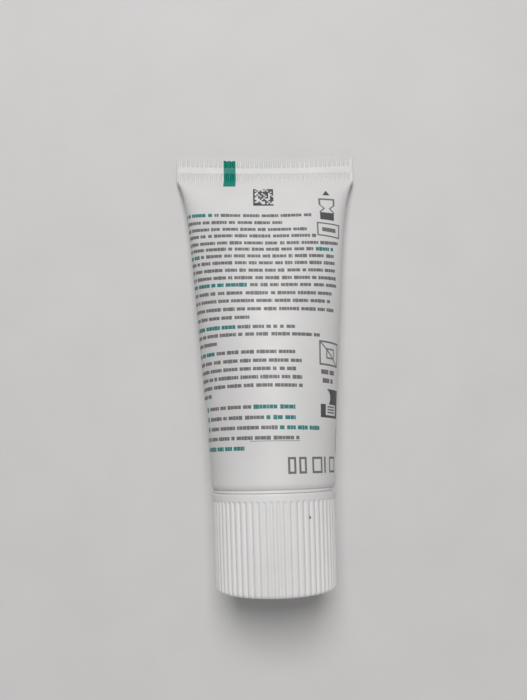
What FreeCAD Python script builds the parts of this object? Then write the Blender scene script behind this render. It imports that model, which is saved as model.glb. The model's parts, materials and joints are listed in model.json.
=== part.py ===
import FreeCAD, Part
import math
import os

# Toothpaste tube lying on its side, in millimetres.
# It is drawn with its shoulder plane at Y = 0, the cap towards -Y and the crimp towards +Y, X across
# and Z up. Then it is tilted about X until the underside of the filled sleeve lies on Z = 0, and
# moved so that the origin is the middle of the base of its bounding box.

# Driving sizes of the sleeve
TUBE_DIAMETER = 25.0
SLEEVE_LENGTH = 72.2
WALL = 0.4
REST_TILT_DEG = 10.0

# Crimp: two toothed bands with a plain band between them, and a hollow end edge
CRIMP_LENGTH = 5.6
CRIMP_THICKNESS = 0.95
END_BAND_LENGTH = 2.1
PLAIN_BAND_LENGTH = 1.6
CRIMP_TOOTH_PITCH = 1.0
CRIMP_TOOTH_DEPTH = 0.14
CRIMP_SIDE_MARGIN = 0.5
CRIMP_END_DIP = 0.9
CRIMP_OVERRUN = 0.9

# How the sleeve swells from the crimp to the shoulder
SIDE_TAPER = 5.0
SIDE_FLARE_LENGTH = 4.2
TOP_DROP = 7.0
CLOSING_LENGTH = 4.2
CAVITY_START = 1.4

# How far the soft underside would sag if the table didn't press it flat
REST_SAG = 0.3

# How finely the sleeve is drawn
SLEEVE_STATIONS = 9
INSIDE_STATIONS = 5
SECTION_POINTS = 32

# Search for the fullness of a section: its limits, where 2 is an ellipse, and how finely it looks
LEAST_POWER = 1.6
MOST_POWER = 9.0
POWER_HALVINGS = 30
GIRTH_SAMPLES = 240

# Rounded end of the sleeve, where it is welded over the tube head
CORNER_RADIUS = 1.8
LIP_SETBACK = 0.6
WELD_CLEARANCE = 0.02
CORNER_STATIONS = 2

# Tube head: skirt, the bead that shows past the sleeve's lip, shoulder and nozzle
HEAD_SKIRT_LENGTH = 4.5
HEAD_SKIRT_WALL = 1.0
SHOULDER_THICKNESS = 1.3
HEAD_BEAD_STEP = 0.5
HEAD_BEAD_EASE = 0.15
NECK_ROOT_DIAMETER = 9.8
NOZZLE_BORE = 6.0
NOZZLE_TIP_CHAMFER = 0.9

# Cap: it starts a gap below the shoulder, a step in from the sleeve, and tapers to its end
CAP_GAP = 0.12
CAP_LENGTH = 18.4
CAP_RIM_STEP = 0.4
CAP_TAPER = 0.7
CAP_RIM_BAND = 1.25
CAP_EDGE_EASE = 0.55
CAP_WALL = 1.3
CAP_ROOF = 1.5
CAP_END_RECESS = 0.8
CAP_STAND_RING = 2.2
CAP_RECESS_SLOPE = 0.5
CAP_BORE = 11.3
CAP_SKIRT_WALL = 1.2
CAP_SKIRT_SETBACK = 1.4
CAP_WEBS = 6
CAP_WEB_THICKNESS = 0.8
CAP_WEB_HEIGHT = 9.0

# Grip ribs of the cap
RIB_COUNT = 60
RIB_DEPTH = 0.3
RIB_CREST_SHARE = 0.42
RIB_VALLEY_SHARE = 0.22

# Sealing disc in the cap's roof
LINER_THICKNESS = 1.0
LINER_SIDE_CLEARANCE = 0.2
FACE_CLEARANCE = 0.05

# Contents
PASTE_CLEARANCE = 0.03
PASTE_RECESS = 0.6

# Sizes worked out from those above
RADIUS = TUBE_DIAMETER / 2
GIRTH = math.pi * TUBE_DIAMETER
CAP_RIM_DIAMETER = TUBE_DIAMETER - CAP_RIM_STEP
CAP_END_DIAMETER = CAP_RIM_DIAMETER - CAP_TAPER
CRIMP_HALF_THICKNESS = CRIMP_THICKNESS / 2
CRIMP_HALF_WIDTH = GIRTH / 4 - CRIMP_HALF_THICKNESS / 2
CRIMP_BASE = SLEEVE_LENGTH - CRIMP_LENGTH
SWELL_LENGTH = CRIMP_BASE - HEAD_SKIRT_LENGTH
UNDERSIDE_SLOPE = math.tan(math.radians(REST_TILT_DEG))
SIDE_FLARE = CRIMP_HALF_WIDTH - RADIUS - SIDE_TAPER
CAP_END = CAP_GAP + CAP_LENGTH
CAP_ROOF_UNDERSIDE = CAP_END - CAP_END_RECESS - CAP_ROOF
LINER_START = CAP_ROOF_UNDERSIDE - FACE_CLEARANCE - LINER_THICKNESS
NOZZLE_END = LINER_START - FACE_CLEARANCE
NOZZLE_BORE_RADIUS = NOZZLE_BORE / 2
CAP_BORE_RADIUS = CAP_BORE / 2
CAP_SKIRT_RADIUS = CAP_BORE_RADIUS + CAP_SKIRT_WALL
HEAD_RADIUS = (RADIUS - WALL) * math.cos(math.pi / SECTION_POINTS) - WELD_CLEARANCE
HEAD_INNER_RADIUS = HEAD_RADIUS - HEAD_SKIRT_WALL

AXIS = FreeCAD.Vector(0, -1, 0)
OVERCUT = 1.0


def half_width(rise):
    """Half the sleeve's width at a distance from the crimp's base towards the shoulder."""
    taper = SIDE_TAPER * (1 - rise / SWELL_LENGTH)
    return RADIUS + taper + SIDE_FLARE * math.exp(-rise / SIDE_FLARE_LENGTH)


def closing(rise):
    """Share of the full swelling that is reached at a distance from the crimp's base."""
    return 1 - math.exp(-rise / CLOSING_LENGTH)


def half_depths(rise):
    """Depth of the sleeve below and above its middle plane, before the table presses it flat."""
    left = SWELL_LENGTH - rise
    crimp_share = CRIMP_HALF_THICKNESS * (1 - closing(rise))
    below = RADIUS + REST_SAG - UNDERSIDE_SLOPE * left
    above = RADIUS - TOP_DROP * (left / SWELL_LENGTH) ** 2
    return below * closing(rise) + crimp_share, above * closing(rise) + crimp_share


def rounded_point(turn, width, below, above, power):
    """Point of the sleeve's section: two half super-ellipses that meet at the sides."""
    along = math.cos(turn)
    up = math.sin(turn)
    depth = above if up >= 0 else below
    x = math.copysign(abs(along) ** (2 / power), along) * width
    z = math.copysign(abs(up) ** (2 / power), up) * depth
    return x, z


def girth_of(width, below, above, power):
    """Length round a section."""
    points = [
        rounded_point(2 * math.pi * i / GIRTH_SAMPLES, width, below, above, power)
        for i in range(GIRTH_SAMPLES)
    ]
    return sum(math.dist(points[i - 1], points[i]) for i in range(GIRTH_SAMPLES))


def section_power(width, below, above):
    """Fullness at which the section keeps the girth of the round sleeve, which can't stretch."""
    low = LEAST_POWER
    high = MOST_POWER
    for _ in range(POWER_HALVINGS):
        middle = (low + high) / 2
        if girth_of(width, below, above, middle) < GIRTH:
            low = middle
        else:
            high = middle
    return (low + high) / 2


def table_level(y):
    """Height of the table under the sleeve, before the tube is tilted onto it."""
    return UNDERSIDE_SLOPE * (y - HEAD_SKIRT_LENGTH) - RADIUS


def section_row(y, width, below, above, power, lowest):
    """Points round one section of the sleeve, pressed flat at its lowest level."""
    points = []
    for i in range(SECTION_POINTS):
        x, z = rounded_point(2 * math.pi * i / SECTION_POINTS, width, below, above, power)
        points.append(FreeCAD.Vector(x, y, max(z, lowest)))
    return points


def swelling_rows(inset, first_rise, count):
    """Sections from the crimp's base to where the sleeve is round, drawn in by an inset."""
    rows = []
    for i in range(count):
        rise = first_rise + (SWELL_LENGTH - first_rise) * (i / count) ** 2
        width = half_width(rise)
        below, above = half_depths(rise)
        power = section_power(width, below, above)
        y = CRIMP_BASE - rise
        lowest = table_level(y) + inset
        rows.append(section_row(y, width - inset, below - inset, above - inset, power, lowest))
    return rows


def round_row(y, radius):
    """Section of the sleeve where it is round."""
    return section_row(y, radius, radius, radius, 2, -radius)


def corner_rows(inset):
    """Round sections over the head's skirt and the rounded end of the sleeve, up to its lip."""
    reach = CORNER_RADIUS - inset
    last_turn = math.asin((CORNER_RADIUS - LIP_SETBACK) / reach)
    rows = [round_row(HEAD_SKIRT_LENGTH, RADIUS - inset)]
    for i in range(CORNER_STATIONS + 1):
        turn = last_turn * i / CORNER_STATIONS
        radius = RADIUS - CORNER_RADIUS + reach * math.cos(turn)
        rows.append(round_row(CORNER_RADIUS - reach * math.sin(turn), radius))
    return rows


def flat_face(*corners):
    """Flat face with the given corners."""
    return Part.Face(Part.makePolygon(corners + corners[:1]))


def skin(rows):
    """Solid whose side runs from section to section in flat facets."""
    faces = [flat_face(*rows[0]), flat_face(*rows[-1])]
    for first, second in zip(rows, rows[1:]):
        for i in range(SECTION_POINTS):
            faces.append(flat_face(first[i - 1], first[i], second[i]))
            faces.append(flat_face(first[i - 1], second[i], second[i - 1]))
    shell = Part.makeShell(faces)
    shell.sewShape()
    return Part.makeSolid(shell)


def tooth_line(half_run, level, outward):
    """Points of one toothed face of the crimp, from left to right."""
    count = int(2 * half_run / CRIMP_TOOTH_PITCH)
    start = -count * CRIMP_TOOTH_PITCH / 2
    points = []
    for i in range(count):
        crest = start + i * CRIMP_TOOTH_PITCH
        points.append((crest, level))
        points.append((crest + CRIMP_TOOTH_PITCH / 2, level - outward * CRIMP_TOOTH_DEPTH))
    points.append((-start, level))
    return points


def crimp_band(y_start, length, toothed):
    """One band of the crimp, as a flat profile run along Y."""
    side = CRIMP_HALF_WIDTH
    half = CRIMP_HALF_THICKNESS
    corner = half / 2
    top = [(-side + corner, half), (side - corner, half)]
    bottom = [(-side + corner, -half), (side - corner, -half)]
    if toothed:
        run = side - CRIMP_SIDE_MARGIN
        top = [top[0]] + tooth_line(run, half, 1) + [top[1]]
        bottom = [bottom[0]] + tooth_line(run, -half, -1) + [bottom[1]]
    outline = top + [(side, 0)] + bottom[::-1] + [(-side, 0)]
    points = [FreeCAD.Vector(x, y_start, z) for x, z in outline]
    face = Part.Face(Part.makePolygon(points + points[:1]))
    return face.extrude(FreeCAD.Vector(0, length, 0))


def make_crimp():
    """Sealed end of the sleeve."""
    end_start = SLEEVE_LENGTH - END_BAND_LENGTH
    plain_start = end_start - PLAIN_BAND_LENGTH
    base_start = CRIMP_BASE - CRIMP_OVERRUN
    crimp = crimp_band(end_start, END_BAND_LENGTH, True)
    crimp = crimp.fuse(crimp_band(plain_start, PLAIN_BAND_LENGTH, False))
    crimp = crimp.fuse(crimp_band(base_start, plain_start - base_start, True))
    dip_radius = CRIMP_HALF_WIDTH ** 2 / (2 * CRIMP_END_DIP)
    centre = FreeCAD.Vector(0, SLEEVE_LENGTH - CRIMP_END_DIP + dip_radius, -OVERCUT)
    return crimp.cut(Part.makeCylinder(dip_radius, 2 * OVERCUT, centre))


def sleeve_inside(clearance):
    """Space inside the sleeve, drawn in by a clearance and run out past the lip."""
    inset = WALL + clearance
    rows = swelling_rows(inset, CAVITY_START, INSIDE_STATIONS) + corner_rows(inset)
    rows.append([point - FreeCAD.Vector(0, OVERCUT, 0) for point in rows[-1]])
    return skin(rows)


def make_sleeve():
    """Printed sleeve: one thin wall, pressed flat at one end and rounded in at the other."""
    outer = skin(swelling_rows(0, 0, SLEEVE_STATIONS) + corner_rows(0))
    return outer.cut(sleeve_inside(0)).fuse(make_crimp())


def turned(points_and_arcs):
    """Solid of revolution about the tube's axis, from edges given in radius and height."""
    face = Part.Face(Part.Wire(points_and_arcs))
    return face.revolve(FreeCAD.Vector(0, 0, 0), AXIS, 360)


def at(radius, height):
    """Point of a turned outline; height is the distance from the shoulder plane to the cap's end."""
    return FreeCAD.Vector(radius, -height, 0)


def line(start, end):
    return Part.makeLine(at(*start), at(*end))


def outline(*corners):
    """Closed chain of straight edges through corners given as radius and height."""
    closed = corners + corners[:1]
    return [line(closed[i], closed[i + 1]) for i in range(len(corners))]


def corner_point(reach, turn):
    """Point of the shoulder's corner, with the angle counted from the radius direction."""
    radius = RADIUS - CORNER_RADIUS + reach * math.cos(turn)
    return radius, -CORNER_RADIUS + reach * math.sin(turn)


def make_tube_head():
    """Shoulder moulded in one with the nozzle; the sleeve's end is welded round it."""
    under_reach = HEAD_RADIUS - (RADIUS - CORNER_RADIUS)
    lip = CORNER_RADIUS - LIP_SETBACK + WELD_CLEARANCE
    bead = RADIUS - HEAD_BEAD_STEP
    root = NECK_ROOT_DIAMETER / 2
    return turned(outline(
        corner_point(under_reach, math.asin(lip / under_reach)),
        (bead, WELD_CLEARANCE - LIP_SETBACK),
        (bead, -HEAD_BEAD_EASE),
        (bead - HEAD_BEAD_EASE, 0),
        (root, 0),
        (root, NOZZLE_END - NOZZLE_TIP_CHAMFER),
        (root - NOZZLE_TIP_CHAMFER, NOZZLE_END),
        (NOZZLE_BORE_RADIUS, NOZZLE_END),
        (NOZZLE_BORE_RADIUS, -SHOULDER_THICKNESS),
        (HEAD_INNER_RADIUS - SHOULDER_THICKNESS, -SHOULDER_THICKNESS),
        (HEAD_INNER_RADIUS, -2 * SHOULDER_THICKNESS),
        (HEAD_INNER_RADIUS, -HEAD_SKIRT_LENGTH),
        (HEAD_RADIUS, -HEAD_SKIRT_LENGTH),
        corner_point(under_reach, 0),
    ))


def make_paste():
    """Contents: they fill the sleeve, the head and the nozzle to just short of its tip."""
    inset = PASTE_CLEARANCE
    head_space = HEAD_INNER_RADIUS - inset
    bore = NOZZLE_BORE_RADIUS - inset
    front = turned(outline(
        (0, -HEAD_SKIRT_LENGTH - OVERCUT),
        (head_space, -HEAD_SKIRT_LENGTH - OVERCUT),
        (head_space, -2 * SHOULDER_THICKNESS - inset),
        (head_space - SHOULDER_THICKNESS, -SHOULDER_THICKNESS - inset),
        (bore, -SHOULDER_THICKNESS - inset),
        (bore, NOZZLE_END - PASTE_RECESS),
        (0, NOZZLE_END - PASTE_RECESS),
    ))
    reach = TUBE_DIAMETER * 2
    corner = FreeCAD.Vector(-reach / 2, HEAD_SKIRT_LENGTH + inset, -reach / 2)
    behind_head = Part.makeBox(reach, SLEEVE_LENGTH, reach, corner)
    return sleeve_inside(inset).common(behind_head).fuse(front)


def cap_radius(height):
    """Outer radius of the cap's rib crests, which taper towards its end."""
    share = (height - CAP_GAP) / CAP_LENGTH
    return (CAP_RIM_DIAMETER * (1 - share) + CAP_END_DIAMETER * share) / 2


def cap_blank():
    """Turned outside of the cap, with its eased end edge."""
    edge_start = CAP_END - CAP_EDGE_EASE
    return turned(outline(
        (0, CAP_GAP),
        (cap_radius(CAP_GAP), CAP_GAP),
        (cap_radius(edge_start), edge_start),
        (cap_radius(CAP_END) - CAP_EDGE_EASE, CAP_END),
        (0, CAP_END),
    ))


def cap_groove():
    """Cutter for one groove between two ribs; it follows the cap's taper and leaves a run-out."""
    start = CAP_GAP + CAP_RIM_BAND
    pitch = math.pi * CAP_RIM_DIAMETER / RIB_COUNT
    crest = cap_radius(start)
    mouth = pitch * (1 - RIB_CREST_SHARE)
    floor = pitch * RIB_VALLEY_SHARE
    outer = 2 * mouth - floor
    profile = [
        (crest + RIB_DEPTH, -outer / 2),
        (crest - RIB_DEPTH, -floor / 2),
        (crest - RIB_DEPTH, floor / 2),
        (crest + RIB_DEPTH, outer / 2),
    ]
    points = [FreeCAD.Vector(x, -start, z) for x, z in profile]
    face = Part.Face(Part.makePolygon(points + points[:1]))
    return face.extrude(FreeCAD.Vector(-CAP_TAPER / 2, -CAP_LENGTH, 0))


def cap_outside():
    """Outside of the cap with its grip ribs."""
    groove = cap_groove()
    centre = FreeCAD.Vector(0, 0, 0)
    grooves = [groove.copy().rotate(centre, AXIS, 360 * i / RIB_COUNT) for i in range(RIB_COUNT)]
    return cap_blank().cut(grooves)


def cap_hollow():
    """Space that is cored out between the cap's outer wall and its threaded skirt."""
    depth = CAP_ROOF_UNDERSIDE
    return turned(outline(
        (CAP_SKIRT_RADIUS, CAP_GAP - OVERCUT),
        (cap_radius(CAP_GAP) - CAP_WALL, CAP_GAP - OVERCUT),
        (cap_radius(depth) - CAP_WALL, depth),
        (CAP_SKIRT_RADIUS, depth),
    ))


def cap_bore():
    """Space inside the threaded skirt, with the mouth that clears the shoulder."""
    return turned(outline(
        (0, CAP_GAP - OVERCUT),
        (CAP_SKIRT_RADIUS + OVERCUT / 2, CAP_GAP - OVERCUT),
        (CAP_SKIRT_RADIUS + OVERCUT / 2, CAP_SKIRT_SETBACK),
        (CAP_BORE_RADIUS, CAP_SKIRT_SETBACK),
        (CAP_BORE_RADIUS, CAP_ROOF_UNDERSIDE),
        (0, CAP_ROOF_UNDERSIDE),
    ))


def cap_end_recess():
    """Shallow dish in the cap's end, which leaves a ring to stand on."""
    mouth = cap_radius(CAP_END) - CAP_STAND_RING
    floor = CAP_END - CAP_END_RECESS
    return turned(outline(
        (0, floor),
        (mouth - CAP_RECESS_SLOPE, floor),
        (mouth, CAP_END + OVERCUT / 10),
        (0, CAP_END + OVERCUT / 10),
    ))


def cap_webs():
    """Thin webs that tie the threaded skirt to the cap's outer wall."""
    inner = CAP_SKIRT_RADIUS - CAP_SKIRT_WALL / 2
    outer = cap_radius(CAP_ROOF_UNDERSIDE) - CAP_WALL / 2
    start = CAP_ROOF_UNDERSIDE - CAP_WEB_HEIGHT
    webs = []
    for i in range(CAP_WEBS):
        corner = FreeCAD.Vector(inner, -CAP_ROOF_UNDERSIDE - CAP_ROOF / 2, -CAP_WEB_THICKNESS / 2)
        height = CAP_WEB_HEIGHT + CAP_ROOF / 2
        web = Part.makeBox(outer - inner, height, CAP_WEB_THICKNESS, corner)
        webs.append(web.rotate(FreeCAD.Vector(0, -start, 0), AXIS, 360 * i / CAP_WEBS))
    return webs


def make_cap():
    """Ribbed screw cap, moulded in one with its threaded skirt and webs."""
    body = cap_outside().cut(cap_hollow()).cut(cap_end_recess())
    body = body.fuse(cap_webs())
    return body.cut(cap_bore())


def make_cap_liner():
    """Soft disc that seals the nozzle's tip; it is carried in the roof of the cap."""
    radius = CAP_BORE_RADIUS - LINER_SIDE_CLEARANCE
    return Part.makeCylinder(radius, LINER_THICKNESS, at(0, LINER_START), AXIS)


def lay_down(shapes):
    """Tilt the parts onto the sleeve's underside, and centre them over the origin."""
    tilt = math.radians(REST_TILT_DEG)
    lift = RADIUS * math.cos(tilt) + HEAD_SKIRT_LENGTH * math.sin(tilt)
    turn = FreeCAD.Rotation(FreeCAD.Vector(1, 0, 0), -REST_TILT_DEG)
    for shape in shapes.values():
        shape.Placement = FreeCAD.Placement(FreeCAD.Vector(0, 0, lift), turn)
    back = SLEEVE_LENGTH * math.cos(tilt) + CRIMP_HALF_THICKNESS / 2 * math.sin(tilt)
    front = shapes["cap"].optimalBoundingBox().YMin
    for shape in shapes.values():
        shape.translate(FreeCAD.Vector(0, -(back + front) / 2, 0))
    return shapes


def make_parts():
    """Every sub-part, by the name of its node."""
    return lay_down({
        "sleeve": make_sleeve(),
        "tube_head": make_tube_head(),
        "paste": make_paste(),
        "cap_liner": make_cap_liner(),
        "cap": make_cap(),
    })


os.makedirs("parts", exist_ok=True)
for name, shape in make_parts().items():
    solid = shape.removeSplitter()
    solid.exportStep(os.path.join("parts", name + ".step"))
    print(name, len(solid.Solids), "solid, valid:", solid.isValid(), solid.BoundBox)
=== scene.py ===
import json
import math
import random

import bpy
from mathutils import Matrix, Vector


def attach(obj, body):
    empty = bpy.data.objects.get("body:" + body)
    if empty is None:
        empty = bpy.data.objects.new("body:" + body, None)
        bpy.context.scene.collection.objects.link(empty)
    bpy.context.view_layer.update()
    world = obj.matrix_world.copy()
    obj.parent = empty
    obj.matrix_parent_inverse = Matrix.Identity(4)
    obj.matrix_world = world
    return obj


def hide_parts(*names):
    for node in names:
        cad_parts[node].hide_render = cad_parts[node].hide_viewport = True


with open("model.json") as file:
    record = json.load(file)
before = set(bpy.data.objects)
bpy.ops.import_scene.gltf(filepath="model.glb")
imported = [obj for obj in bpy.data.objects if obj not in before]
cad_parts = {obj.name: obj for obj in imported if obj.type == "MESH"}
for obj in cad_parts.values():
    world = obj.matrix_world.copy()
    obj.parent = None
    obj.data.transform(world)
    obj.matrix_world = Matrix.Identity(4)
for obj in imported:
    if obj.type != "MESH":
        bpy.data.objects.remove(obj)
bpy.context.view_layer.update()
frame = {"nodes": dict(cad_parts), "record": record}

# The tube is drawn in millimetres as it stands on its shoulder plane: X across, Y from the shoulder
# to the crimp, Z up. "lay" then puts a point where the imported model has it, in metres.
MM = 0.001
RADIUS = 12.5
GIRTH = 2 * math.pi * RADIUS
WALL = 0.4
SLEEVE_LENGTH = 72.2
TILT = math.radians(10.0)
HEAD_SKIRT = 4.5

CRIMP_LENGTH = 5.6
CRIMP_HALF = 0.475
CRIMP_HALF_WIDTH = GIRTH / 4 - CRIMP_HALF / 2
CRIMP_BASE = SLEEVE_LENGTH - CRIMP_LENGTH
SWELL = CRIMP_BASE - HEAD_SKIRT

# Teeth: a band at the crimp's end, a plain strip and a second band down to the crimp's base
END_BAND = 2.1
PLAIN_BAND = 1.6
END_START = SLEEVE_LENGTH - END_BAND
PLAIN_START = END_START - PLAIN_BAND
TEETH_BASE = (CRIMP_BASE - 1.3, CRIMP_BASE - 0.1)
TEETH_SIDE = (CRIMP_HALF_WIDTH - 0.9, CRIMP_HALF_WIDTH - 0.3)
TOOTH_PITCH = 1.0
TOOTH_DEPTH = 0.19
TOOTH_RAMP = 0.22

# The end edge is hollow and cut a little short; the crimp and the print sit slightly askew
END_DIP = 0.85
END_TRIM = 0.4
ASKEW = 0.021
ASKEW_REACH = 16

SIDE_TAPER = 5.0
FLARE_LENGTH = 4.2
FLARE = CRIMP_HALF_WIDTH - RADIUS - SIDE_TAPER
TOP_DROP = 7.0
CLOSING = 4.2
SAG = 0.3
SAG_START = 4.0
SLOPE = math.tan(TILT)
CORNER = 1.8

CAP_GAP = 0.12
CAP_LENGTH = 18.4
CAP_END = CAP_GAP + CAP_LENGTH
CAP_RIM_RADIUS = 12.3
CAP_END_RADIUS = 11.95
CAP_WALL = 1.3
CAP_ROOF = CAP_END - 2.3
RIM_BAND = 1.25
RIM_FACE = CAP_GAP - 0.08
RIBS = 60
RIB_DEPTH = 0.3

joint = next(j for j in frame["record"]["behaviour"]["joints"] if j["name"] == "cap_turn")
OUTWARD = Vector(joint["axis"]).normalized()
RIM_CENTRE = Vector(joint["pos_m"])
UP = Vector((1, 0, 0)).cross(-OUTWARD)
SHOULDER = RIM_CENTRE - OUTWARD * CAP_GAP * MM
lay = Matrix.Translation(SHOULDER) @ Matrix((
    (1, -OUTWARD.x, UP.x, 0),
    (0, -OUTWARD.y, UP.y, 0),
    (0, -OUTWARD.z, UP.z, 0),
    (0, 0, 0, 1),
)) @ Matrix.Scale(MM, 4)


# Materials

class Nodes:
    """Short ways to add and join nodes of one material."""

    def __init__(self, name):
        self.material = bpy.data.materials.new(name)
        self.material.use_nodes = True
        self.tree = self.material.node_tree
        self.shader = self.tree.nodes["Principled BSDF"]
        self.place = self.add("ShaderNodeTexCoord").outputs["Object"]

    def add(self, kind, **values):
        node = self.tree.nodes.new(kind)
        for key, value in values.items():
            setattr(node, key, value)
        return node

    def link(self, source, target):
        self.tree.links.new(source, target)

    def noise(self, scale, detail, roughness=0.5):
        node = self.add("ShaderNodeTexNoise")
        node.inputs["Scale"].default_value = scale
        node.inputs["Detail"].default_value = detail
        node.inputs["Roughness"].default_value = roughness
        self.link(self.place, node.inputs["Vector"])
        return node.outputs["Fac"]

    def ramp(self, source, low, high, start, end):
        """Map a value from low..high to start..end."""
        node = self.add("ShaderNodeMapRange")
        node.inputs["From Min"].default_value = low
        node.inputs["From Max"].default_value = high
        node.inputs["To Min"].default_value = start
        node.inputs["To Max"].default_value = end
        self.link(source, node.inputs["Value"])
        return node.outputs["Result"]

    def mix(self, factor, first, second):
        """Colour between two, by a factor."""
        node = self.add("ShaderNodeMix", data_type="RGBA")
        self.link(factor, node.inputs[0])
        node.inputs[6].default_value = (*first, 1)
        node.inputs[7].default_value = (*second, 1)
        return node.outputs[2]

    def bump(self, height, distance, strength, normal=None):
        node = self.add("ShaderNodeBump")
        node.inputs["Strength"].default_value = strength
        node.inputs["Distance"].default_value = distance
        self.link(height, node.inputs["Height"])
        if normal:
            self.link(normal, node.inputs["Normal"])
        return node.outputs["Normal"]

    def set(self, **values):
        names = {"ior": "IOR", "specular": "Specular IOR Level",
                 "coat": "Coat Weight", "coat_roughness": "Coat Roughness",
                 "subsurface": "Subsurface Weight", "subsurface_scale": "Subsurface Scale"}
        for key, value in values.items():
            self.shader.inputs[names[key]].default_value = value


def srgb(*levels):
    """Linear colour from screen levels from 0 to 255."""
    return tuple(
        (v / 255 / 12.92) if v / 255 <= 0.04045 else ((v / 255 + 0.055) / 1.055) ** 2.4
        for v in levels
    )


def grey(level):
    """Linear colour of a grey screen level from 0 to 255, with the faint warmth of the photo."""
    return srgb(level, level * 0.993, level * 0.99)


def plastic(name, colour, shade, roughness, grain, depth, **values):
    """Moulded or laminated plastic: cloudy tone, fine grain and uneven gloss."""
    n = Nodes(name)
    tone = n.ramp(n.noise(90, 4), 0.35, 0.65, 0, 1)
    n.link(n.mix(tone, colour, shade), n.shader.inputs["Base Color"])
    gloss = n.ramp(n.noise(260, 5, 0.6), 0.3, 0.7, roughness - 0.05, roughness + 0.06)
    n.link(gloss, n.shader.inputs["Roughness"])
    fine = n.bump(n.noise(grain, 3, 0.6), depth, 0.6)
    n.link(n.bump(n.noise(grain / 9, 2), depth * 4, 0.5, fine), n.shader.inputs["Normal"])
    n.set(**values)
    return n.material


def ink(name, colour, shade):
    """Printing ink: matt, faintly uneven, as it lies on the grain of the laminate."""
    n = Nodes(name)
    patch = n.ramp(n.noise(1900, 4, 0.7), 0.4, 0.75, 0, 1)
    n.link(n.mix(patch, colour, shade), n.shader.inputs["Base Color"])
    n.link(n.ramp(n.noise(700, 3), 0.3, 0.7, 0.42, 0.55), n.shader.inputs["Roughness"])
    n.link(n.bump(n.noise(2600, 3, 0.6), 0.000004, 0.5), n.shader.inputs["Normal"])
    n.set(ior=1.46, specular=0.25)
    return n.material


laminate = plastic(
    "printed_laminate", grey(210), grey(205), roughness=0.54, grain=2600, depth=0.000006,
    ior=1.5, subsurface=0.06, subsurface_scale=0.0006)
cap_plastic = plastic(
    "cap_plastic", grey(216), grey(211), roughness=0.5, grain=3400, depth=0.000005,
    ior=1.5, subsurface=0.08, subsurface_scale=0.0008)
head_plastic = plastic(
    "head_plastic", grey(217), grey(212), roughness=0.48, grain=3000, depth=0.000006,
    ior=1.5, subsurface=0.08, subsurface_scale=0.0008)
liner_foam = plastic(
    "liner_foam", grey(222), grey(208), roughness=0.62, grain=5200, depth=0.00003, ior=1.45)
paste_cream = plastic(
    "paste_cream", srgb(226, 236, 235), srgb(214, 228, 228), roughness=0.2, grain=900,
    depth=0.00004, ior=1.46, coat=0.3, coat_roughness=0.1)
ink_grey = ink("ink_grey", grey(106), grey(118))
ink_dark = ink("ink_dark", grey(70), grey(84))
ink_teal = ink("ink_teal", srgb(44, 116, 112), srgb(60, 128, 124))
ink_green = ink("ink_green", srgb(4, 118, 102), srgb(10, 128, 112))
speck_dirt = ink("speck_dirt", srgb(74, 62, 56), srgb(104, 90, 80))


# Mesh helpers

def add_object(name, vertices, faces, material, smooth=True):
    """New object from millimetre points of the upright tube."""
    mesh = bpy.data.meshes.new(name)
    mesh.from_pydata(vertices, [], faces)
    mesh.transform(lay)
    mesh.update()
    mesh.materials.append(material)
    mesh.polygons.foreach_set("use_smooth", [smooth] * len(mesh.polygons))
    obj = bpy.data.objects.new(name, mesh)
    bpy.context.scene.collection.objects.link(obj)
    return obj


def grid_faces(rows, columns, start=0, wrap=True):
    """Quads between rows of points."""
    faces = []
    last = columns if wrap else columns - 1
    for r in range(rows - 1):
        for c in range(last):
            a = start + r * columns + c
            b = start + r * columns + (c + 1) % columns
            faces.append((a, b, b + columns, a + columns))
    return faces


def spread(start, end, count):
    """Evenly spaced values from start to end."""
    return [start + (end - start) * i / (count - 1) for i in range(count)]


def ease(value, low, high):
    """Smooth step from 0 at low to 1 at high."""
    t = min(max((value - low) / (high - low), 0), 1)
    return t * t * (3 - 2 * t)


# The sleeve: its sections keep their girth, because the laminate can't stretch

SAMPLES = 200
COLUMNS = 504
POWERS = (1.6, 9.0)
HALVINGS = 18


def section_at(rise):
    """Half width and the depths below and above, at a distance from the crimp's base."""
    left = SWELL - rise
    closing = 1 - math.exp(-rise / CLOSING)
    flat = CRIMP_HALF * (1 - closing)
    width = RADIUS + SIDE_TAPER * (1 - rise / SWELL) + FLARE * math.exp(-rise / FLARE_LENGTH)
    below = (RADIUS + SAG * (1 - math.exp(-left / SAG_START)) - SLOPE * left) * closing + flat
    above = (RADIUS - TOP_DROP * (left / SWELL) ** 2) * closing + flat
    return width, below, above


def quarter(width, depth, power):
    """Points of a quarter section from the side to the middle."""
    points = []
    for i in range(SAMPLES + 1):
        turn = math.pi / 2 * i / SAMPLES
        x = width * math.cos(turn) ** (2 / power)
        points.append((x, depth * math.sin(turn) ** (2 / power)))
    return points


def run(points):
    """Length along points, up to each of them."""
    lengths = [0.0]
    for a, b in zip(points, points[1:]):
        lengths.append(lengths[-1] + math.dist(a, b))
    return lengths


def fullness(width, below, above):
    """Power at which the section keeps the girth of the round sleeve."""
    low, high = POWERS
    for _ in range(HALVINGS):
        power = (low + high) / 2
        lower, upper = run(quarter(width, below, power)), run(quarter(width, above, power))
        girth = 2 * lower[-1] + 2 * upper[-1]
        low, high = (power, high) if girth < GIRTH else (low, power)
    return power


def half_outline(width, below, above, power):
    """Right half of a section from the top centre round to the bottom centre."""
    upper = list(reversed(quarter(width, above, power)))
    lower = [(x, -z) for x, z in quarter(width, below, power)]
    return upper + lower[1:]


def table_level(y):
    """Height of the table under the sleeve before the tube is tilted."""
    return SLOPE * (y - HEAD_SKIRT) - RADIUS


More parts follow.
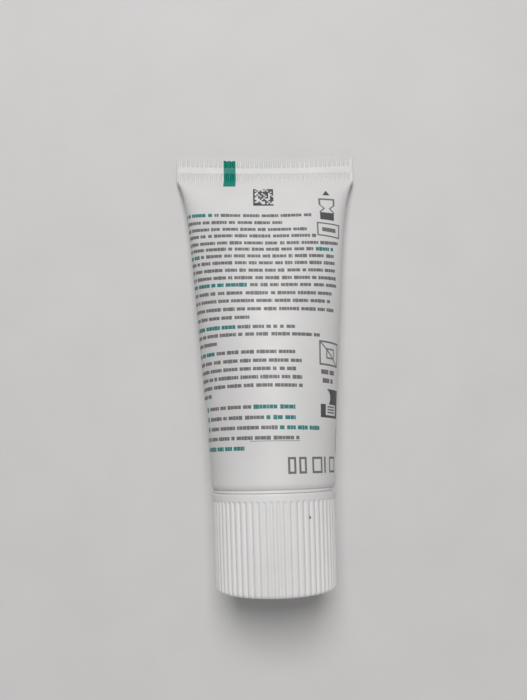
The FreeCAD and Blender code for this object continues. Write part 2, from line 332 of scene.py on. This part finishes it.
class Section:
    """One section of the sleeve, which gives a point for a share of its half girth."""

    def __init__(self, y):
        self.y = y
        rise = CRIMP_BASE - y
        if rise >= SWELL:
            radius = RADIUS
            if y < CORNER:
                radius = RADIUS - CORNER + math.sqrt(max(CORNER ** 2 - (CORNER - y) ** 2, 0))
            shape = (radius, radius, radius, 2.0)
        else:
            sizes = section_at(max(rise, 0))
            shape = (*sizes, fullness(*sizes))
        self.points = half_outline(*shape)
        self.lengths = run(self.points)
        self.half_girth = self.lengths[-1]
        self.lowest = table_level(y) if rise < SWELL else -RADIUS

    def point(self, share):
        """Point at a share of the half girth: 0 the top, 1 and -1 the bottom, positive right."""
        want = abs(share) * self.half_girth
        low, high = 0, len(self.lengths) - 1
        while high - low > 1:
            middle = (low + high) // 2
            low, high = (middle, high) if self.lengths[middle] <= want else (low, middle)
        gap = self.lengths[high] - self.lengths[low]
        t = (want - self.lengths[low]) / gap if gap else 0
        a, b = self.points[low], self.points[high]
        x = a[0] + (b[0] - a[0]) * t
        z = a[1] + (b[1] - a[1]) * t
        return math.copysign(x, share), max(z, self.lowest)

    def outward(self, share):
        """Direction that points out of the sleeve at a share of the half girth."""
        near, far = self.point(share - 0.004), self.point(share + 0.004)
        across, down = far[0] - near[0], near[1] - far[1]
        length = math.hypot(across, down)
        return down / length, across / length


# Soft dents: place from the shoulder, share round the section, reach along and round, depth.
# They fade out towards the crimp's base and towards the underside.
DENTS = (
    (52.0, -0.33, 9.0, 0.10, 0.35),
    (54.5, 0.34, 8.0, 0.10, 0.32),
    (40.0, -0.42, 12.0, 0.09, 0.16),
    (36.0, 0.43, 13.0, 0.09, 0.14),
    (60.0, 0.02, 3.2, 0.22, 0.22),
    (58.0, -0.18, 4.0, 0.07, 0.12),
    (46.0, 0.10, 9.0, 0.16, 0.10),
    (24.0, -0.12, 10.0, 0.2, 0.07),
)
DENTS_END = (0.5, 8)
DENTS_SIDE = (0.6, 0.75)


def dent(y, share):
    """How far hand marks press the full sleeve in."""
    depth = 0.0
    for place, side, along, round_, most in DENTS:
        depth += most * math.exp(-((y - place) / along) ** 2 - ((share - side) / round_) ** 2)
    return depth * (ease(CRIMP_BASE - y, *DENTS_END) * (1 - ease(abs(share), *DENTS_SIDE)))


def crimp_wave(x, y):
    """Height of the pressed teeth of the crimp."""
    base = ease(y, *TEETH_BASE) * (1 - ease(y, PLAIN_START - TOOTH_RAMP, PLAIN_START))
    end = ease(y, END_START, END_START + TOOTH_RAMP)
    side = 1 - ease(abs(x), *TEETH_SIDE)
    return TOOTH_DEPTH * (base + end) * side * math.sin(2 * math.pi * x / TOOTH_PITCH)


def sleeve_point(section, share):
    """Point of the sleeve's outside, with dents, teeth, the hollow end edge and the skew."""
    x, z = section.point(share)
    y = section.y
    z += crimp_wave(x, y) - dent(y, share)
    askew = ASKEW * x * ease(y, 0, ASKEW_REACH)
    if y > CRIMP_BASE:
        short = END_DIP * (1 - (x / CRIMP_HALF_WIDTH) ** 2) + END_TRIM
        y -= short * (y - CRIMP_BASE) / CRIMP_LENGTH
    return x, y - askew, z


# Rows of the sleeve's mesh, closest together at the lip and the crimp
LIP_TURN = 0.83
SHOULDER_END = 8
NECK_START = CRIMP_BASE - 12
CRIMP_ROWS_START = CRIMP_BASE - 2.4
# Inside the lip: distances from the shoulder, then the lip's round edge as shares of the wall
# inwards and distances from the first section
INNER_ROWS = (3.4, 1.6)
LIP_ROWS = ((0.9, 0.12), (0.5, -0.03), (0.12, -0.01))


def sleeve_rows():
    """Places of the sections from the lip to the crimp's end."""
    corner = [CORNER * (1 - math.cos(t)) for t in spread(LIP_TURN, math.pi / 2, 7)]
    shoulder = spread(corner[-1], SHOULDER_END, 12)[1:]
    body = spread(SHOULDER_END, NECK_START, 48)[1:]
    neck = spread(NECK_START, CRIMP_ROWS_START, 24)[1:-1]
    crimp = spread(CRIMP_ROWS_START, SLEEVE_LENGTH, 44)
    return corner + shoulder + body + neck + crimp


def crimp_end_faces(last):
    """Narrow faces that join the upper and lower edge of the last row."""
    half, quarter_count = COLUMNS // 2, COLUMNS // 4
    faces = []
    for k in range(quarter_count):
        right = [half + k, half + k + 1, COLUMNS - k - 1, (COLUMNS - k) % COLUMNS]
        left = [k, k + 1, half - k - 1, half - k]
        for corners in (right, left):
            faces.append(tuple(last + i for i in dict.fromkeys(corners)))
    return faces


def make_sleeve():
    """Fine sleeve: the outside, closed at the crimp, and the wall turned in at the lip."""
    shares = [2 * c / COLUMNS - 1 for c in range(COLUMNS)]
    sections = [Section(y) for y in sleeve_rows()]
    inside = RADIUS - WALL
    rows = [
        [(inside * math.sin(math.pi * s), y, inside * math.cos(math.pi * s)) for s in shares]
        for y in INNER_ROWS
    ]
    lip = sections[0]
    for inwards, back in LIP_ROWS:
        scale = 1 - WALL * inwards / RADIUS
        points = [lip.point(s) for s in shares]
        rows.append([(x * scale, lip.y + back, z * scale) for x, z in points])
    for section in sections:
        rows.append([sleeve_point(section, s) for s in shares])
    vertices = [p for row in rows for p in row]
    faces = grid_faces(len(rows), COLUMNS) + crimp_end_faces((len(rows) - 1) * COLUMNS)
    return add_object("printed_sleeve", vertices, faces, laminate)


sleeve = make_sleeve()
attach(sleeve, "tube")
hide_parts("sleeve")


# Print: plain blocks and shapes as thin films that follow the sleeve. Places are given as
# left, right, low, high: round the sleeve from its top, and along it from the shoulder.

FILM = 0.014
SINK = 0.02
STEP = 0.45
GRID = 0.25
film_sections = {}


def film_section(y):
    """Section at a place along the sleeve, kept for reuse."""
    key = round(y, 3)
    if key not in film_sections:
        film_sections[key] = Section(key)
    return film_sections[key]


def film_point(section, s, level):
    """Point at a distance round a section from its top, stood off the sleeve by the level."""
    share = s / section.half_girth
    x, y, z = sleeve_point(section, share)
    out_x, out_z = section.outward(share)
    return Vector((x + out_x * level, y, z + out_z * level))


def bowed_point(y, s, level, bow):
    """The same between two kept sections, for a line that bends to the crimp at its sides."""
    place = (y + bow * (s / BOW_REACH) ** 2) / GRID
    cell = math.floor(place)
    near, far = (film_point(film_section(k * GRID), s, level) for k in (cell, cell + 1))
    return near.lerp(far, place - cell)


class Film:
    """Collects patches of one ink into one object."""

    def __init__(self, name, material):
        self.name = name
        self.material = material
        self.vertices = []
        self.faces = []

    def patch(self, left, right, low, high, lift=FILM, step=STEP, lean=0.0, bow=0.0):
        """Closed patch. Its far end lies sideways by the lean, its sides bend up by the bow."""
        across = max(int((right - left) / step) + 2, 2)
        along = max(int((high - low) / step) + 2, 2)
        start = len(self.vertices)
        for level in (lift, -SINK):
            for y in spread(low, high, along):
                aside = lean * (y - low) / (high - low)
                for s in spread(left + aside, right + aside, across):
                    if bow:
                        point = bowed_point(y, s, level, bow)
                    else:
                        point = film_point(film_section(y), s, level)
                    self.vertices.append(tuple(point))
        size = across * along
        top = grid_faces(along, across, start, False)
        self.faces += top
        self.faces += [tuple(reversed([i + size for i in f])) for f in top]
        edge = [start + c for c in range(across)]
        edge += [start + r * across + across - 1 for r in range(1, along)]
        edge += [start + (along - 1) * across + c for c in range(across - 2, -1, -1)]
        edge += [start + r * across for r in range(along - 2, 0, -1)]
        for a, b in zip(edge, edge[1:] + edge[:1]):
            self.faces.append((b, a, a + size, b + size))

    def frame(self, left, right, low, high, line):
        """Four bars round a rectangle."""
        self.patch(left, right, low, low + line)
        self.patch(left, right, high - line, high)
        self.patch(left, left + line, low + line, high - line)
        self.patch(right - line, right, low + line, high - line)

    def finish(self):
        obj = add_object(self.name, self.vertices, self.faces, self.material, False)
        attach(obj, "tube")


greys = Film("print_grey", ink_grey)
darks = Film("print_dark", ink_dark)
teals = Film("print_teal", ink_teal)
greens = Film("register_mark", ink_green)
chance = random.Random(7)

# Lines of small print: where each lies along the sleeve and where it ends round the sleeve
LEFT_EDGE = -21.6
LINES = (
    (55.7, 9.3), (54.0, 3.2), (52.4, 8.2), (50.9, 10.1), (49.3, 15.4), (47.9, 14.0),
    (46.4, 14.3), (44.9, 14.5), (43.3, 15.4), (41.7, 15.1), (40.2, 15.1), (38.5, 13.6),
    (36.9, 13.1), (35.2, 15.3), (33.5, -2.9), (31.6, 5.1), (30.1, 10.3), (28.5, -11.0),
    (26.6, 5.5), (24.9, 6.1), (23.3, 5.0), (21.7, 6.6), (20.1, 6.2), (18.5, -13.6),
    (16.0, 4.5), (14.0, 4.5), (12.1, 10.5), (10.2, 5.3), (8.3, -5.5),
)
# Where teal starts and stops in a line
TEAL = {
    55.7: (LEFT_EDGE, -10.5), 47.9: (10.1, 14.0), 46.4: (LEFT_EDGE, -14.5), 40.2: (-14.7, -4.2),
    31.6: (LEFT_EDGE, -8), 26.6: (LEFT_EDGE, -12), 16.0: (-3, 4.5), 14.0: (-3, 4.5),
    12.1: (0, 10.5), 8.3: (-15, -5.5),
}
NO_TEAL = (99, 99)
TEAL_HEIGHT = 1.12
WORD_LENGTHS = (0.9, 1.6, 2.3, 2.9, 3.4, 4.2)
WORD_SPREAD = (0.85, 1.15)
WORD_GAP = 0.42
WORD_HEIGHT = 0.66
SHORTEST_WORD = 0.6
BLOCK_LENGTHS = (0.4, 1.1)
BLOCK_GAP = 0.07
SHORTEST_BLOCK = 0.15
BLOCK_HEIGHTS = (1, 1, 1, 1.14)
UNDERLINE = (-4.3, 5.3, 9.56, 9.66)

# How far the lines bend towards the crimp at a distance round the sleeve, and where that sets in
BOW = 1.7
BOW_REACH = 20.0
BOW_START = (18, 45)

BULLET = -15.9
BULLET_REACH = 0.5
BULLET_CORNER = 0.62
BULLET_SPACE = 1.2
BULLET_LINES = (16.0, 14.0, 12.1)


def print_word(film, left, right, y, height):
    """Row of plain blocks with hairline gaps, a few of them taller."""
    bow = BOW * ease(y, *BOW_START)
    s = left
    while s < right - SHORTEST_BLOCK:
        wide = min(chance.uniform(*BLOCK_LENGTHS), right - s)
        reach = height / 2 * chance.choice(BLOCK_HEIGHTS)
        film.patch(s, s + wide, y - reach, y + reach, bow=bow)
        s += wide + BLOCK_GAP


def print_line(y, end):
    """One line of rows of blocks, each as long as a word."""
    teal_from, teal_to = TEAL.get(y, NO_TEAL)
    s = BULLET + BULLET_SPACE if y in BULLET_LINES else LEFT_EDGE
    while s < end - SHORTEST_WORD:
        word = min(chance.choice(WORD_LENGTHS) * chance.uniform(*WORD_SPREAD), end - s)
        teal = teal_from <= s + word / 2 <= teal_to
        film = teals if teal else greys
        print_word(film, s, s + word, y, WORD_HEIGHT * (TEAL_HEIGHT if teal else 1))
        s += word + WORD_GAP


def print_bullet(y):
    """Round dot, as two crossed blocks."""
    far, near = BULLET_REACH, BULLET_REACH * BULLET_CORNER
    teals.patch(BULLET - far, BULLET + far, y - near, y + near)
    teals.patch(BULLET - near, BULLET + near, y - far, y + far, FILM * 1.1)


for line in LINES:
    print_line(*line)
for y in BULLET_LINES:
    print_bullet(y)
greys.patch(*UNDERLINE)

# Square code block, drawn at random
CODE = (-2.65, 1.6, 58.3, 63.0)
CODE_CELLS = 12
CODE_FILL = 0.6


def print_code():
    """Random cells inside a square, which carry no data."""
    left, right, low, high = CODE
    wide = (right - left) / CODE_CELLS
    tall = (high - low) / CODE_CELLS
    for i in range(CODE_CELLS):
        y = low + i * tall
        c = 0
        while c < CODE_CELLS:
            length = 0
            while c + length < CODE_CELLS and (
                i == 0 or c + length == 0 or chance.random() < CODE_FILL
            ):
                length += 1
            if length:
                darks.patch(left + c * wide, left + (c + length) * wide, y, y + tall)
            c += length + 1


print_code()

# Plain shapes where the photo has icons, down the right side
ICON = 12.75
ARROW_STEPS = 6
ARROW_STEP = 0.2
ARROW_BASE = 61.2
ARROW_REACH = 0.72
WAIST_TOP = (11.0, 14.5, 59.95, 60.35)
WAIST_BLOCK = (11.2, 14.3, 55.2, 56.9)
WAIST_LEVELS = (56.9, 57.9, 58.7, 59.95)
WAIST_REACH = 1.55
WAIST_DEPTH = 0.95
WAIST_LINE = 0.2
FRAMED_BAR = ((10.4, 15.8, 51.4, 54.5, 0.3), (11.5, 14.7, 52.5, 53.4))
STRUCK_SQUARE = ((10.1, 16.5, 24.4, 29.3, 0.36), (12.0, 14.6, 25.8, 27.9, 0.3))
STRIKE = (15.5, 15.95, 24.76, 28.94)
STRIKE_LEAN = -5.3
SHORT_LINES = ((23.1, 10.5, 14.9), (21.4, 10.9, 14.3))
SHORT_WORDS = (1.2, 2.2)
SHORT_REACH = 0.45
SHORT_GAP = 0.4


def print_arrow():
    """Small triangle in steps."""
    for i in range(ARROW_STEPS):
        reach = ARROW_REACH * (1 - i / ARROW_STEPS)
        low, high = ARROW_BASE + i * ARROW_STEP, ARROW_BASE + (i + 1) * ARROW_STEP
        darks.patch(ICON - reach, ICON + reach, low, high)


def print_waist():
    """Waisted outline over a dark block."""
    foot, neck, shoulder, top = WAIST_LEVELS
    greys.patch(*WAIST_TOP)
    for side in (-1, 1):
        outer = ICON + side * WAIST_REACH
        inner = outer - side * WAIST_DEPTH
        lean = side * WAIST_DEPTH
        greys.patch(outer - WAIST_LINE, outer + WAIST_LINE, shoulder, top)
        greys.patch(inner - WAIST_LINE, inner + WAIST_LINE, neck, shoulder, lean=lean)
        greys.patch(outer - WAIST_LINE, outer + WAIST_LINE, foot, neck, lean=-lean)
    darks.patch(*WAIST_BLOCK)


def print_frames():
    """Framed bar and, further down, a struck square with a smaller one inside."""
    frame_, bar = FRAMED_BAR
    greys.frame(*frame_)
    greys.patch(*bar)
    outside, inside = STRUCK_SQUARE
    greys.frame(*outside)
    greys.patch(*STRIKE, lean=STRIKE_LEAN)
    greys.frame(*inside)


def print_short_lines():
    """Two short lines under the struck square."""
    for y, left, right in SHORT_LINES:
        s = left
        while s < right - 0.5:
            word = min(chance.uniform(*SHORT_WORDS), right - s)
            greys.patch(s, s + word, y - SHORT_REACH, y + SHORT_REACH)
            s += word + SHORT_GAP


# Dark block: a round cut at its upper left, and an open foot with three bars in it
CUT_STEPS = 10
CUT_STEP = 0.3
CUT_BASE = 16.8
CUT_CENTRE = (11.7, 18.1)
CUT_RADIUS = 1.7
BLOCK_RIGHT = 17.0
FOOT = ((10.3, 11.8, 14.2, 16.8), (15.8, 17.0, 14.2, 16.8), (11.8, 15.8, 14.2, 14.7))
FOOT_BARS = 3
FOOT_BAR = (12.4, 15.2, 15.1, 15.4)
FOOT_BAR_PITCH = 0.55

# Small upright line and ticks at the far right, and the outlines in place of the large print
TICKS = 9
TICK = (17.0, 17.45, 7.6)
TICK_LENGTH = 0.36
TICK_PITCH = 0.56
TICK_LINE = (17.85, 17.95, 7.2, 12.8)
LARGE = ((2.7, 4.3), (4.9, 6.5), (7.8, 10.5), (11.1, 11.6), (13.0, 16.0))
LARGE_PLACE = (3.5, 6.6)
LARGE_LINE = 0.42

# Green mark across the crimp: its fine steps and higher lift follow the teeth
MARK = (-9.0, -6.4, CRIMP_BASE - 2.65, SLEEVE_LENGTH - 0.06)
MARK_LIFT = 0.03
MARK_STEP = 0.12


def print_cut_block():
    """Dark block with a round cut and an open foot."""
    for i in range(CUT_STEPS):
        y = CUT_BASE + i * CUT_STEP
        off = y + CUT_STEP / 2 - CUT_CENTRE[1]
        left = CUT_CENTRE[0] + math.sqrt(max(CUT_RADIUS ** 2 - off ** 2, 0))
        darks.patch(left, BLOCK_RIGHT, y, y + CUT_STEP)
    for part in FOOT:
        darks.patch(*part)
    left, right, low, high = FOOT_BAR
    for i in range(FOOT_BARS):
        greys.patch(left, right, low + i * FOOT_BAR_PITCH, high + i * FOOT_BAR_PITCH)


def print_ticks():
    """Small ticks beside an upright line."""
    left, right, low = TICK
    for i in range(TICKS):
        y = low + i * TICK_PITCH
        greys.patch(left, right, y, y + TICK_LENGTH)
    greys.patch(*TICK_LINE)


print_arrow()
print_waist()
print_frames()
print_short_lines()
print_cut_block()
print_ticks()
for left, right in LARGE:
    greys.frame(left, right, *LARGE_PLACE, LARGE_LINE)
greens.patch(*MARK, MARK_LIFT, MARK_STEP)
for film in (greys, darks, teals, greens):
    film.finish()


# The cap: an outline turned about the axis, ribbed outside, with a threaded skirt inside

CAP_COLUMNS = RIBS * 10
CREST_SHARE = 0.62
CREST_CROWN = 0.14
GROOVE_FLANK = 0.16
RIB_RUN_IN = 0.7
CAP_EDGE = 0.8
STAND_RING = 1.3
SKIRT_IN = 5.65
SKIRT_OUT = 6.85
SKIRT_START = 1.4
WEBS = 6
WEB_HALF = 0.4
WEB_REACH = (6.4, 11)
WEB_HEIGHTS = (CAP_ROOF + 0.3, CAP_ROOF - 9)
BOX_FACES = (
    (0, 3, 2, 1), (4, 5, 6, 7), (0, 1, 5, 4), (1, 2, 6, 5), (2, 3, 7, 6), (3, 0, 4, 7),
)


def rib_depth(turn):
    """Depth of the wave between two ribs: wide round ribs and narrow round grooves."""
    phase = (turn * RIBS / (2 * math.pi)) % 1
    groove = abs(phase - 0.5) / ((1 - CREST_SHARE) / 2 + GROOVE_FLANK)
    crown = CREST_CROWN * (1 - math.cos(2 * math.pi * phase)) / 2
    return RIB_DEPTH * (crown + (1 - CREST_CROWN) * (1 - ease(groove, 0.0, 1.0)))


def cap_radius(height):
    """Outer radius of the cap between its rim and its end."""
    share = (height - CAP_GAP) / CAP_LENGTH
    return CAP_RIM_RADIUS + (CAP_END_RADIUS - CAP_RIM_RADIUS) * share


def cap_outline():
    """Radius, height and share of rib depth, from inside the roof to the end's middle."""
    path = []

    def turn_at(radius, height, *steps):
        """Smooth points at small steps from a corner."""
        path.extend((radius + out, height + up, 0) for out, up in steps)

    turn_at(0, CAP_ROOF, (0.01, 0))
    turn_at(SKIRT_IN, CAP_ROOF, (-0.2, 0), (0, -0.2))
    turn_at(SKIRT_IN, SKIRT_START, (0, 0.3), (0.12, 0.1), (0.3, 0))
    turn_at(SKIRT_OUT, SKIRT_START, (-0.2, 0), (-0.05, 0.08), (0, 0.25))
    turn_at(SKIRT_OUT, CAP_ROOF, (0, -0.4), (0.15, -0.1), (0.4, 0))
    inner = cap_radius(CAP_ROOF) - CAP_WALL
    turn_at(inner, CAP_ROOF, (-0.4, 0), (-0.1, -0.1), (0, -0.4))
    turn_at(CAP_RIM_RADIUS - CAP_WALL, RIM_FACE, (0, 0.2), (0.08, 0.06), (0.25, 0))
    turn_at(CAP_RIM_RADIUS, RIM_FACE, (-0.1, 0), (-0.03, 0.03), (0, 0.1))
    groove = CAP_GAP + RIM_BAND
    for height in spread(CAP_GAP + 0.4, groove - 0.1, 4):
        path.append((cap_radius(height), height, 0))
    for height in spread(groove, groove + RIB_RUN_IN, 8):
        t = (height - groove) / RIB_RUN_IN
        path.append((cap_radius(height), height, math.sqrt(max(1 - (1 - t) ** 2, 0))))
    edge_start = CAP_END - CAP_EDGE
    for height in spread(groove + 1.2, edge_start - 0.4, 12):
        path.append((cap_radius(height), height, 1))
    corner = cap_radius(edge_start) - CAP_EDGE
    for t in spread(0, math.pi / 2, 9):
        radius, height = corner + CAP_EDGE * math.cos(t), edge_start + CAP_EDGE * math.sin(t)
        path.append((radius, height, math.cos(t) ** 0.8))
    ring = corner - STAND_RING
    turn_at(corner, CAP_END, (-0.5, 0))
    turn_at(ring, CAP_END, (0.2, 0), (0, -0.05), (-0.15, -0.2), (-0.35, -0.65))
    turn_at(ring, CAP_END, (-0.55, -0.78), (-0.9, -0.8))
    turn_at(0, CAP_END, (6.0, -0.8), (1.4, -0.8), (1.2, -0.74), (0.9, -0.7), (0.01, -0.7))
    return path


def turned_rows(path, columns):
    """Points of an outline turned about the axis, with ribs where the outline has them."""
    vertices = []
    depths = [rib_depth(2 * math.pi * c / columns) for c in range(columns)]
    for radius, height, ribbed in path:
        for c in range(columns):
            turn = 2 * math.pi * c / columns
            r = radius - depths[c] * ribbed
            vertices.append((r * math.sin(turn), -height, r * math.cos(turn)))
    return vertices


def add_web(vertices, faces, turn):
    """Flat web between the cap's skirt and its wall, sunk into the roof."""
    start = len(vertices)
    along = Vector((math.sin(turn), 0, math.cos(turn)))
    side = Vector((math.cos(turn), 0, -math.sin(turn))) * WEB_HALF
    near, far = (along * reach for reach in WEB_REACH)
    for height in WEB_HEIGHTS:
        up = Vector((0, -height, 0))
        for corner in (near - side, far - side, far + side, near + side):
            vertices.append(tuple(corner + up))
    faces += [tuple(start + i for i in face) for face in BOX_FACES]


def make_cap():
    """Cap with ribs, rounded edges, end recess, skirt and webs."""
    path = cap_outline()
    vertices = turned_rows(path, CAP_COLUMNS)
    faces = grid_faces(len(path), CAP_COLUMNS)
    for web in range(WEBS):
        add_web(vertices, faces, 2 * math.pi / WEBS * web + math.pi / 2)
    return add_object("ribbed_cap", vertices, faces, cap_plastic)


cap = make_cap()
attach(cap, "screw_cap")
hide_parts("cap")


# Small dark speck that sticks in a groove of the cap

SPECK_TURN = math.radians(32.3)
SPECK_HEIGHT = 4.5
SPECK_REACH = 0.23
SPECK_RISE = 0.12
SPECK_SUNK = 0.1
SPECK_RINGS = 4
SPECK_SIDES = 10


def make_speck():
    """Low rounded crumb."""
    ground = cap_radius(SPECK_HEIGHT) - RIB_DEPTH * 0.35
    vertices = []
    for ring in range(SPECK_RINGS):
        t = math.pi / 2 * ring / (SPECK_RINGS - 1)
        r = ground + SPECK_RISE * math.sin(t) - (SPECK_SUNK if ring == 0 else 0)
        for i in range(SPECK_SIDES):
            spin = 2 * math.pi * i / SPECK_SIDES
            out = SPECK_REACH * math.cos(t) * (1 + 0.18 * math.sin(3 * spin)) + 0.002
            turn = SPECK_TURN + out * math.cos(spin) / r
            y = -SPECK_HEIGHT - out * math.sin(spin)
            vertices.append((r * math.sin(turn), y, r * math.cos(turn)))
    faces = grid_faces(SPECK_RINGS, SPECK_SIDES)
    faces.append(tuple(range(SPECK_SIDES - 1, -1, -1)))
    faces.append(tuple(range((SPECK_RINGS - 1) * SPECK_SIDES, SPECK_RINGS * SPECK_SIDES)))
    return add_object("cap_speck", vertices, faces, speck_dirt)


speck = make_speck()
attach(speck, "screw_cap")


# Screw thread: one ridge round the nozzle, and one in the cap's skirt that lies close beside it
# on the shoulder's side, as a tightened cap's does

PITCH = 3.0
THREAD_STEPS = 48
THREAD_LENGTH = 9.0
THREAD_FOOT = 0.62
THREAD_TOP = 0.25
THREAD_TURN = 0.4
NOZZLE_THREAD = (4.88, 5.42, 2.6)
CAP_THREAD = (5.67, 5.12, 3.35)


def helix(name, root, crest, start, phase, material):
    """Closed ridge along a right-hand helix, faded out at both ends."""
    turns = THREAD_LENGTH / PITCH
    steps = int(turns * THREAD_STEPS)
    vertices = []
    sunk = root + (root - crest) * 0.2
    for i in range(steps + 1):
        t = i / steps
        turn = phase - 2 * math.pi * turns * t
        height = start + THREAD_LENGTH * t
        fade = ease(t, 0, 0.08) * (1 - ease(t, 0.92, 1))
        tip = root + (crest - root) * (0.05 + 0.95 * fade)
        for radius, shift in (
            (sunk, -THREAD_FOOT), (root, -THREAD_FOOT), (tip, -THREAD_TOP),
            (tip, THREAD_TOP), (root, THREAD_FOOT), (sunk, THREAD_FOOT),
        ):
            vertices.append((radius * math.sin(turn), -height - shift, radius * math.cos(turn)))
    faces = grid_faces(steps + 1, 6)
    faces.append(tuple(range(5, -1, -1)))
    faces.append(tuple(steps * 6 + i for i in range(6)))
    return add_object(name, vertices, faces, material)


nozzle_thread = helix("nozzle_thread", *NOZZLE_THREAD, THREAD_TURN, head_plastic)
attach(nozzle_thread, "tube")
cap_thread = helix("cap_thread", *CAP_THREAD, THREAD_TURN + math.pi, cap_plastic)
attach(cap_thread, "screw_cap")

for node, material in (
    ("tube_head", head_plastic), ("cap_liner", liner_foam), ("paste", paste_cream),
):
    for material_slot in frame["nodes"][node].material_slots:
        material_slot.material = material


# Floor, light and camera

FLOOR_HALF = 1.5
WORLD_LIGHT = 0.18
SENSOR = 36.0
FOCAL_PX = 650.0
PICTURE_PX = 700.0
CAMERA_PLACE = (-1.3, 3.04, 144.15)
CAMERA_TURN = math.radians(-1.5)


def make_floor():
    """Plain pale table top."""
    n = Nodes("table_top")
    tone = n.ramp(n.noise(60, 5), 0.3, 0.7, 0, 1)
    n.link(n.mix(tone, grey(205), grey(201)), n.shader.inputs["Base Color"])
    n.link(n.bump(n.noise(900, 4, 0.6), 0.00003, 0.35), n.shader.inputs["Normal"])
    n.shader.inputs["Roughness"].default_value = 0.6
    mesh = bpy.data.meshes.new("floor")
    corners = [(-1, -1), (1, -1), (1, 1), (-1, 1)]
    mesh.from_pydata([(x * FLOOR_HALF, y * FLOOR_HALF, 0) for x, y in corners], [], [(0, 1, 2, 3)])
    mesh.materials.append(n.material)
    floor = bpy.data.objects.new("floor", mesh)
    bpy.context.scene.collection.objects.link(floor)


def add_softbox(name, place, size, watts):
    """Square lamp that faces the tube."""
    lamp = bpy.data.lights.new(name, "AREA")
    lamp.shape = "SQUARE"
    lamp.size = size
    lamp.energy = watts
    obj = bpy.data.objects.new(name, lamp)
    obj.location = place
    obj.rotation_mode = "QUATERNION"
    obj.rotation_quaternion = (-Vector(place)).to_track_quat("-Z", "Y")
    bpy.context.scene.collection.objects.link(obj)


def make_world():
    """Even pale surroundings, white where the camera sees past the floor."""
    world = bpy.data.worlds.new("studio")
    world.use_nodes = True
    tree = world.node_tree
    back = tree.nodes["Background"]
    back.inputs["Color"].default_value = (1, 1, 1, 1)
    rays = tree.nodes.new("ShaderNodeLightPath")
    seen = rays.outputs["Is Camera Ray"]
    for kind in ("Is Glossy Ray", "Is Transmission Ray"):
        either = tree.nodes.new("ShaderNodeMath")
        either.operation = "MAXIMUM"
        tree.links.new(seen, either.inputs[0])
        tree.links.new(rays.outputs[kind], either.inputs[1])
        seen = either.outputs[0]
    strength = tree.nodes.new("ShaderNodeMapRange")
    strength.inputs["To Min"].default_value = WORLD_LIGHT
    strength.inputs["To Max"].default_value = 1
    tree.links.new(seen, strength.inputs["Value"])
    tree.links.new(strength.outputs["Result"], back.inputs["Strength"])
    bpy.context.scene.world = world


def make_camera():
    """Straight down at the photograph's distance; its sensor is as long as the picture is high."""
    camera = bpy.data.cameras.new("camera")
    camera.sensor_width = SENSOR
    camera.lens = SENSOR * FOCAL_PX / PICTURE_PX
    camera.clip_start = 0.005
    obj = bpy.data.objects.new("camera", camera)
    obj.location = Vector(CAMERA_PLACE) * MM
    obj.rotation_euler = (0, 0, CAMERA_TURN)
    bpy.context.scene.collection.objects.link(obj)
    bpy.context.scene.camera = obj


make_floor()
make_world()
add_softbox("key_light", place=(-0.02, 0.9, 1.375), size=0.6, watts=22.0)
add_softbox("fill_light", place=(0.15, -1.35, 0.55), size=0.9, watts=3.2)
make_camera()
bpy.context.scene.view_settings.view_transform = "Standard"
